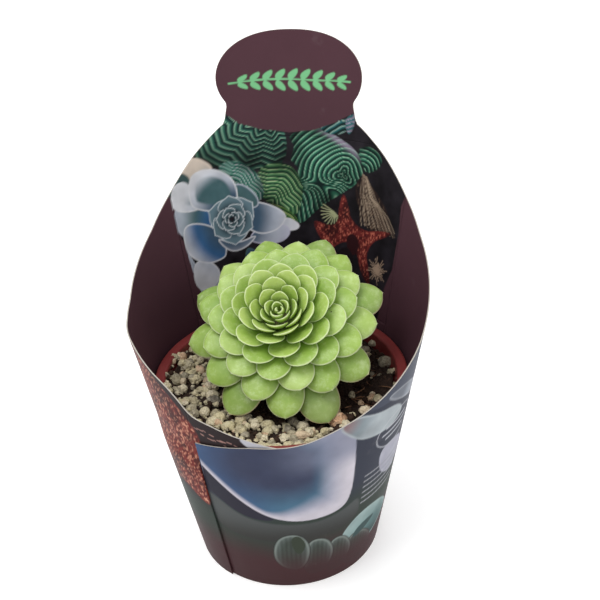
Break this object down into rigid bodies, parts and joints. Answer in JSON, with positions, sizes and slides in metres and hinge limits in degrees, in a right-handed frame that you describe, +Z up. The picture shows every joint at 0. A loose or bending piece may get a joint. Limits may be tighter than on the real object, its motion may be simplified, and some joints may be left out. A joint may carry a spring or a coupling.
{
  "type": "potted succulent",
  "caption": "Tilted rosette of fleshy spoon-shaped leaves in a round tapered pot with soil and stones, standing in a printed card sleeve that rises to an oval header.",
  "frame": {"origin": "centre of the flat underside of the pot, where the pot stands", "axes": "+Z up along the pot's axis; -Y towards the low front edge of the sleeve, from where the plant is looked at; +X to the right in that view"},
  "size_m": [0.1206, 0.13, 0.202],
  "materials": {
    "pot_plastic": "semi-matte terracotta-red thin moulded plastic",
    "printed_card": "satin-varnished printed card, dark maroon, white cut edge",
    "soil_peat": "dark crumbly peat with fibres",
    "stem_bark": "matte green-brown plant stem",
    "leaf_green": "waxy pale green leaf with a chalky bloom",
    "pumice": "rough beige and grey pumice"
  },
  "bodies": {
    "root": {"pot": "pot_plastic", "card_sleeve": "printed_card", "soil": "soil_peat", "stem": "stem_bark", "heart": "leaf_green", "leaf_01": "leaf_green", "leaf_02": "leaf_green", "leaf_03": "leaf_green", "leaf_04": "leaf_green", "leaf_05": "leaf_green", "leaf_06": "leaf_green", "leaf_07": "leaf_green", "leaf_08": "leaf_green", "leaf_09": "leaf_green", "leaf_10": "leaf_green", "leaf_11": "leaf_green", "leaf_12": "leaf_green", "leaf_13": "leaf_green", "leaf_14": "leaf_green", "leaf_15": "leaf_green", "leaf_16": "leaf_green", "leaf_17": "leaf_green", "leaf_18": "leaf_green", "leaf_19": "leaf_green", "leaf_20": "leaf_green", "leaf_21": "leaf_green", "leaf_22": "leaf_green", "leaf_23": "leaf_green", "leaf_24": "leaf_green", "leaf_25": "leaf_green", "leaf_26": "leaf_green", "leaf_27": "leaf_green", "leaf_28": "leaf_green", "leaf_29": "leaf_green", "leaf_30": "leaf_green", "leaf_31": "leaf_green", "leaf_32": "leaf_green", "leaf_33": "leaf_green", "leaf_34": "leaf_green", "leaf_35": "leaf_green", "leaf_36": "leaf_green", "leaf_37": "leaf_green", "leaf_38": "leaf_green", "leaf_39": "leaf_green", "leaf_40": "leaf_green", "leaf_41": "leaf_green", "leaf_42": "leaf_green", "stone_01": "pumice", "stone_02": "pumice", "stone_03": "pumice", "stone_04": "pumice", "stone_05": "pumice", "stone_06": "pumice", "stone_07": "pumice", "stone_08": "pumice", "stone_09": "pumice", "stone_10": "pumice", "stone_11": "pumice", "stone_12": "pumice"}
  },
  "joints": []
}
